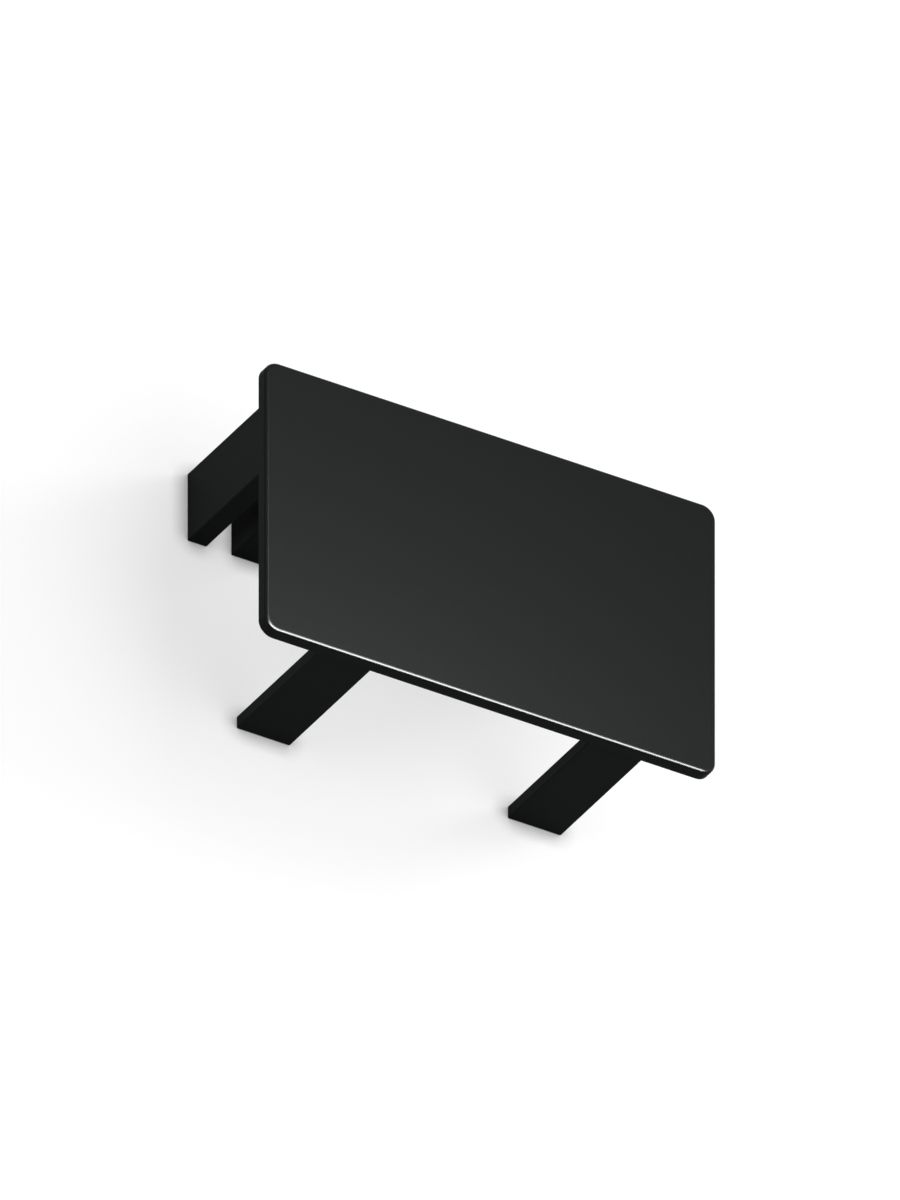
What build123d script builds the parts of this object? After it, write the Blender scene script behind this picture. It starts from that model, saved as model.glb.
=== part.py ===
"""Profile end cap: a flat plate that closes the cut end of a hollow profile, held by six prongs.

The cap is one moulding. Its prongs are two pairs of tall legs, high up at the left and the right,
and two flat tabs along the lower edge. Each pair of legs grips a rib inside the profile.

All sizes are in millimetres. The origin is the centre of the plate's back face, which seats on the
profile's cut end. +X runs along the plate's long edge, +Y runs up the plate towards the legs, and
+Z points out of the face that stays in sight. The prongs point along -Z.
"""

import os

from build123d import *

# Plate
plate_length = 65.0
plate_height = 40.0
plate_thickness = 1.75
plate_corner_radius = 2.0
front_edge_radius = 0.45

# All prongs
prong_length = 20.6
prong_edge_radius = 0.2

# Legs, placed from the plate's top and side edges
leg_height = 10.0
leg_top_inset = 3.7
outer_leg_side_inset = 2.0
outer_leg_width = 2.8
rib_gap = 3.5
inner_leg_width = 5.0

# Tabs, placed from the plate's bottom and side edges
tab_width = 7.7
tab_thickness = 1.8
tab_bottom_inset = 0.8
tab_side_inset = 9.1

# Places worked out from the sizes, for the prongs at the left
outer_leg_left = outer_leg_side_inset - plate_length / 2
inner_leg_left = outer_leg_left + outer_leg_width + rib_gap
tab_left = tab_side_inset - plate_length / 2
leg_bottom = plate_height / 2 - leg_top_inset - leg_height
tab_bottom = tab_bottom_inset - plate_height / 2

# Each prong runs this far into the plate, so that the two fuse into one solid
root_depth = plate_thickness / 2


def make_plate():
    """The plate, with round corners, a rolled front edge and a sharp back edge."""
    with BuildPart() as plate:
        with BuildSketch():
            RectangleRounded(plate_length, plate_height, plate_corner_radius)
        extrude(amount=plate_thickness)
        front_face = plate.faces().sort_by(Axis.Z)[-1]
        fillet(front_face.edges(), front_edge_radius)
    return plate.part


def make_prong(left, bottom, width, height):
    """A straight prong with its long edges and its tip's edges eased."""
    with BuildPart() as prong:
        with Locations((left, bottom, -prong_length)):
            Box(
                width,
                height,
                prong_length + root_depth,
                align=(Align.MIN, Align.MIN, Align.MIN),
            )
        root_face = prong.faces().sort_by(Axis.Z)[-1]
        free_edges = prong.edges() - root_face.edges()
        fillet(free_edges, min(prong_edge_radius, 0.45 * min(width, height)))
    return prong.part


def make_left_prongs():
    """The outer leg, the inner leg and the tab of the left half."""
    return [
        make_prong(outer_leg_left, leg_bottom, outer_leg_width, leg_height),
        make_prong(inner_leg_left, leg_bottom, inner_leg_width, leg_height),
        make_prong(tab_left, tab_bottom, tab_width, tab_thickness),
    ]


def make_end_cap():
    """The whole cap: the plate, the left prongs and their mirror images."""
    with BuildPart() as end_cap:
        add(make_plate())
        for prong in make_left_prongs():
            add(prong)
            add(mirror(prong, about=Plane.YZ, mode=Mode.PRIVATE))
    return end_cap.part


os.makedirs("parts", exist_ok=True)
export_step(make_end_cap(), "parts/end_cap.step")
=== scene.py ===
"""The look of the profile end cap: black moulded plastic on a white ground, in soft studio light.

Everything is in metres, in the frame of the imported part: the origin is the middle of the plate's
back face, +X runs along the plate's long edge, +Y up the plate towards the legs, and +Z out of the
face that stays in sight. The cap stands on the tips of its prongs.
"""

import math

import bpy
from mathutils import Matrix, Vector


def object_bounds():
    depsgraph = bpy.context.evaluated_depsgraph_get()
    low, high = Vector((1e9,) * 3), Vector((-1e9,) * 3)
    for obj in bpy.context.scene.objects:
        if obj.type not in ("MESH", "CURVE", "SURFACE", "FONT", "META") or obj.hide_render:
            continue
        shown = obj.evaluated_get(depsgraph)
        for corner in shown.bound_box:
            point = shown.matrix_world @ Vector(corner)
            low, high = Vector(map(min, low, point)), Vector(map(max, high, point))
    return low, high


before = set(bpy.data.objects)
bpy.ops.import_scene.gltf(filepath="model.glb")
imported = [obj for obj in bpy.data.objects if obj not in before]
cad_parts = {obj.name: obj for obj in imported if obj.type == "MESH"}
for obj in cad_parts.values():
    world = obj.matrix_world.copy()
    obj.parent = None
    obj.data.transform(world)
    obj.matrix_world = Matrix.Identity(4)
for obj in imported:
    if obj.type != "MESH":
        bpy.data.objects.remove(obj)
cad_low, cad_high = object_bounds()

MM = 0.001
white = (1, 1, 1, 1)

# The cap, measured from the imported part
plate_front = cad_high.z
prong_tips = cad_low.z
plate_length = cad_high.x - cad_low.x

# The view: a parallel one, with the plate's short edge upright in the picture
view_azimuth = math.radians(-37.53)
view_elevation = math.radians(45.56)
picture_size = Vector((900, 1200))
plate_middle_in_picture = Vector((491.1, 567.4))
plate_length_in_picture = 524.9
camera_distance = 0.4

# Black plastic: a dull body with a fine grain, whose finish changes a little as the melt flowed
plastic_colour = (0.0079, 0.0090, 0.0086, 1)
plastic_roughness = 0.40
plastic_ior = 1.05
grain_size = 0.16 * MM
grain_depth = 0.0002 * MM
grain_detail = 2
flow_size = 9 * MM
flow_detail = 3
flow_roughness_change = 0.03

# Satin skin on the front, full on the upper half of its rolled edge and thinner on the flat
skin_roughness = 0.251
skin_ior = 1.5
skin_on_roll = 1
skin_on_front = 0.42
skin_front_blend = 0.012 * MM
skin_depth = 0.14 * MM
skin_blend = 0.08 * MM

# Lamps: each has the way from the cap towards it, its place, its size and its radiance
key_facing = Vector((0.547, 0.051, 0.836)).normalized()
key_distance = 0.8
key_size = (1.09, 1.8)
key_radiance = 1.72
side_facing = Vector((0.80, 0.417, 0.431)).normalized()
side_distance = 0.8
side_size = (0.25, 0.25)
side_radiance = 13.7
fill_facing = Vector((-0.90, -0.20, 0.24)).normalized()
fill_distance = 0.6
fill_size = (0.4, 0.4)
fill_radiance = 3.7
room_light = 0.08

# Overhead panels, which face straight down and show in the gloss alone
overhead = Vector((0, 0, 1))
wide_panel_place = Vector((-5.9, -120.2, 250)) * MM
wide_panel_size = (0.372, 0.190)
wide_panel_radiance = 30.7
small_panel_place = Vector((54.7, 82.0, 250)) * MM
small_panel_size = (0.167, 0.092)
small_panel_radiance = 10.7
panel_colour = (0.98, 1, 0.98)

# Ground: a round floor that bends up into a low wall, and a white wall that hangs below it
ground_colour = (0.9, 0.9, 0.9, 1)
ground_glow = (1.14, 1.14, 1.14, 1)
shadow_share = 0.41
shadow_fade_start = 0.3
shadow_fade_end = 0.6
# Near the prong tips the ground's glow and colour are darkened by ambient occlusion: a painted
# contact shadow
contact_shadow_reach = 2.6 * MM
contact_shadow_samples = 4
ground_pinhole = 0.01 * MM
ground_radius = 1.2
ground_bend_radius = 0.06
ground_bend_steps = 12
ground_wall_height = 0.1
lower_wall_depth = 0.6
points_around = 96


def link(thing):
    bpy.context.scene.collection.objects.link(thing)


def add_camera():
    """A parallel camera that sees the cap as the photograph does."""
    towards = Vector(
        (
            math.sin(view_azimuth) * math.cos(view_elevation),
            -math.cos(view_azimuth) * math.cos(view_elevation),
            math.sin(view_elevation),
        )
    )
    plate_up = Vector((0, 1, 0))
    up = (plate_up - plate_up.dot(towards) * towards).normalized()
    right = up.cross(towards)
    pixel = plate_length / plate_length_in_picture
    off_middle = picture_size / 2 - plate_middle_in_picture
    target = Vector((0, 0, plate_front)) + pixel * (off_middle.x * right - off_middle.y * up)
    data = bpy.data.cameras.new("camera")
    data.type = "ORTHO"
    data.ortho_scale = picture_size.y * pixel
    camera = bpy.data.objects.new("camera", data)
    turn = Matrix((right, up, towards)).transposed()
    camera.matrix_world = Matrix.LocRotScale(target + camera_distance * towards, turn, None)
    link(camera)
    bpy.context.scene.camera = camera


def add_ramp(tree, value, start, end, low, high, kind="SMOOTHSTEP"):
    """A value that runs from low, where the given value is at start, to high, where it is at end."""
    ramp = tree.nodes.new("ShaderNodeMapRange")
    ramp.interpolation_type = kind
    ramp.inputs["From Min"].default_value = start
    ramp.inputs["From Max"].default_value = end
    ramp.inputs["To Min"].default_value = low
    ramp.inputs["To Max"].default_value = high
    tree.links.new(value, ramp.inputs["Value"])
    return ramp.outputs[0]


def add_math(tree, operation, first, second):
    node = tree.nodes.new("ShaderNodeMath")
    node.operation = operation
    tree.links.new(first, node.inputs[0])
    tree.links.new(second, node.inputs[1])
    return node.outputs[0]


def add_mix(tree, share, first, second):
    """A surface that turns from the first into the second as the share grows from 0 to 1."""
    mix = tree.nodes.new("ShaderNodeMixShader")
    tree.links.new(share, mix.inputs["Fac"])
    tree.links.new(first, mix.inputs[1])
    tree.links.new(second, mix.inputs[2])
    return mix.outputs[0]


def add_noise(tree, place, size, detail):
    noise = tree.nodes.new("ShaderNodeTexNoise")
    noise.inputs["Scale"].default_value = 1 / size
    noise.inputs["Detail"].default_value = detail
    tree.links.new(place, noise.inputs["Vector"])
    return noise.outputs[0]


def add_softbox(name, place, facing, size, radiance):
    """A rectangular lamp; size is its width across the plate and its depth up the plate."""
    side = Vector((0, 1, 0)).cross(facing).normalized()
    data = bpy.data.lights.new(name, "AREA")
    data.shape = "RECTANGLE"
    data.size, data.size_y = size
    data.energy = radiance * math.pi * size[0] * size[1]
    lamp = bpy.data.objects.new(name, data)
    turn = Matrix((side, facing.cross(side), facing)).transposed()
    lamp.matrix_world = Matrix.LocRotScale(place, turn, None)
    lamp.visible_camera = False
    link(lamp)
    return lamp


def add_lamps():
    """A broad key, a small side lamp and a low fill from the left, none of which shows in gloss."""
    for name, facing, distance, size, radiance in (
        ("key", key_facing, key_distance, key_size, key_radiance),
        ("side", side_facing, side_distance, side_size, side_radiance),
        ("fill", fill_facing, fill_distance, fill_size, fill_radiance),
    ):
        lamp = add_softbox(name, distance * facing, facing, size, radiance)
        lamp.visible_glossy = False


def add_panels():
    """Two panels that light no surface: gloss mirrors them on the front and its rolled edge."""
    for name, place, size, radiance in (
        ("wide_panel", wide_panel_place, wide_panel_size, wide_panel_radiance),
        ("small_panel", small_panel_place, small_panel_size, small_panel_radiance),
    ):
        panel = add_softbox(name, place, overhead, size, radiance)
        panel.data.color = panel_colour
        panel.visible_diffuse = False


def add_room():
    """Faint light from everywhere; the camera sees plain white in its place."""
    world = bpy.data.worlds.new("studio")
    world.use_nodes = True
    tree = world.node_tree
    background = tree.nodes["Background"]
    background.inputs["Color"].default_value = white
    seen = tree.nodes.new("ShaderNodeLightPath").outputs["Is Camera Ray"]
    strength = add_ramp(tree, seen, 0, 1, room_light, 1, "LINEAR")
    tree.links.new(strength, background.inputs["Strength"])
    bpy.context.scene.world = world


def new_material(name):
    """A material, with its node tree, whose glow isn't taken for a lamp."""
    material = bpy.data.materials.new(name)
    material.use_nodes = True
    material.cycles.emission_sampling = "NONE"
    return material, material.node_tree


def ground_material():
    """White ground that keeps a soft share of the cap's shadow near it, with a painted contact shadow
    at the prong tips, and is clear from below.
    """
    material, tree = new_material("white_ground")
    nodes = tree.nodes
    links = tree.links
    nodes.clear()
    paper = nodes.new("ShaderNodeBsdfDiffuse")
    glow = nodes.new("ShaderNodeEmission")
    glow.inputs["Color"].default_value = ground_glow
    # Painted contact shadow: ambient occlusion darkens the ground's colour and its glow near the
    # prongs
    painted_contact_shade = nodes.new("ShaderNodeAmbientOcclusion")
    painted_contact_shade.samples = contact_shadow_samples
    painted_contact_shade.inputs["Color"].default_value = ground_colour
    painted_contact_shade.inputs["Distance"].default_value = contact_shadow_reach
    links.new(painted_contact_shade.outputs["Color"], paper.inputs["Color"])
    links.new(painted_contact_shade.outputs["AO"], glow.inputs["Strength"])

    away = nodes.new("ShaderNodeVectorMath")
    away.operation = "LENGTH"
    links.new(nodes.new("ShaderNodeTexCoord").outputs["Object"], away.inputs[0])
    share = add_ramp(tree, away.outputs["Value"], shadow_fade_start, shadow_fade_end, shadow_share, 0)
    lifted = add_mix(tree, share, glow.outputs[0], paper.outputs[0])

    path = nodes.new("ShaderNodeLightPath")
    seen = path.outputs["Is Camera Ray"]
    for ray in ("Is Glossy Ray", "Is Transmission Ray"):
        seen = add_math(tree, "MAXIMUM", seen, path.outputs[ray])
    shown = add_mix(tree, seen, paper.outputs[0], lifted)

    below = nodes.new("ShaderNodeNewGeometry").outputs["Backfacing"]
    clear = nodes.new("ShaderNodeBsdfTransparent")
    one_sided = add_mix(tree, below, shown, clear.outputs[0])
    links.new(one_sided, nodes.new("ShaderNodeOutputMaterial").inputs["Surface"])
    return material


def white_wall_material():
    material, tree = new_material("white_wall")
    tree.nodes.clear()
    glow = tree.nodes.new("ShaderNodeEmission")
    glow.inputs["Color"].default_value = white
    tree.links.new(glow.outputs[0], tree.nodes.new("ShaderNodeOutputMaterial").inputs["Surface"])
    return material


def add_turned(name, profile, material):
    """A piece of the studio turned about the upright axis from (radius, height) points."""
    points = []
    for radius, height in profile:
        for k in range(points_around):
            turn = 2 * math.pi * k / points_around
            points.append((radius * math.cos(turn), radius * math.sin(turn), height))
    faces = []
    for ring in range(len(profile) - 1):
        start = ring * points_around
        above = start + points_around
        for k in range(points_around):
            after = (k + 1) % points_around
            faces.append((start + k, above + k, above + after, start + after))
    mesh = bpy.data.meshes.new(name)
    mesh.from_pydata(points, [], faces)
    mesh.shade_smooth()
    mesh.materials.append(material)
    piece = bpy.data.objects.new(name, mesh)
    link(piece)
    return piece


def add_ground():
    profile = [(ground_pinhole, prong_tips), (ground_radius - ground_bend_radius, prong_tips)]
    for k in range(1, ground_bend_steps + 1):
        turn = k / ground_bend_steps * math.pi / 2
        radius = ground_radius - ground_bend_radius * (1 - math.sin(turn))
        profile.append((radius, prong_tips + ground_bend_radius * (1 - math.cos(turn))))
    profile.append((ground_radius, prong_tips + ground_wall_height))
    add_turned("ground", profile, ground_material())

    below = [(ground_radius, prong_tips), (ground_radius, prong_tips - lower_wall_depth)]
    wall = add_turned("lower_wall", below, white_wall_material())
    wall.visible_diffuse = False


def plastic_material():
    """Near-black plastic with a fine grain; the front and its rolled edge have a satin skin."""
    material, tree = new_material("black_moulded_plastic")
    nodes = tree.nodes
    links = tree.links
    shader = nodes["Principled BSDF"]
    shader.inputs["Base Color"].default_value = plastic_colour
    shader.inputs["IOR"].default_value = plastic_ior
    shader.inputs["Coat IOR"].default_value = skin_ior
    shader.inputs["Coat Roughness"].default_value = skin_roughness
    place = nodes.new("ShaderNodeTexCoord").outputs["Object"]

    split = nodes.new("ShaderNodeSeparateXYZ")
    links.new(place, split.inputs[0])
    height = split.outputs["Z"]
    skin_low = plate_front - skin_depth
    on_skin = add_ramp(tree, height, skin_low - skin_blend, skin_low, 0, 1)
    flat_low = plate_front - skin_front_blend
    thickness = add_ramp(tree, height, flat_low, plate_front, skin_on_roll, skin_on_front)
    links.new(add_math(tree, "MULTIPLY", on_skin, thickness), shader.inputs["Coat Weight"])

    flow = add_noise(tree, place, flow_size, flow_detail)
    sleekest = plastic_roughness - flow_roughness_change
    dullest = plastic_roughness + flow_roughness_change
    links.new(add_ramp(tree, flow, 0, 1, sleekest, dullest, "LINEAR"), shader.inputs["Roughness"])

    relief = nodes.new("ShaderNodeBump")
    relief.inputs["Strength"].default_value = 1
    relief.inputs["Distance"].default_value = grain_depth
    links.new(add_noise(tree, place, grain_size, grain_detail), relief.inputs["Height"])
    links.new(relief.outputs[0], shader.inputs["Normal"])
    return material


add_camera()
add_lamps()
add_panels()
add_room()
add_ground()
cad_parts["end_cap"].data.materials[0] = plastic_material()

bpy.context.scene.view_settings.view_transform = "Standard"
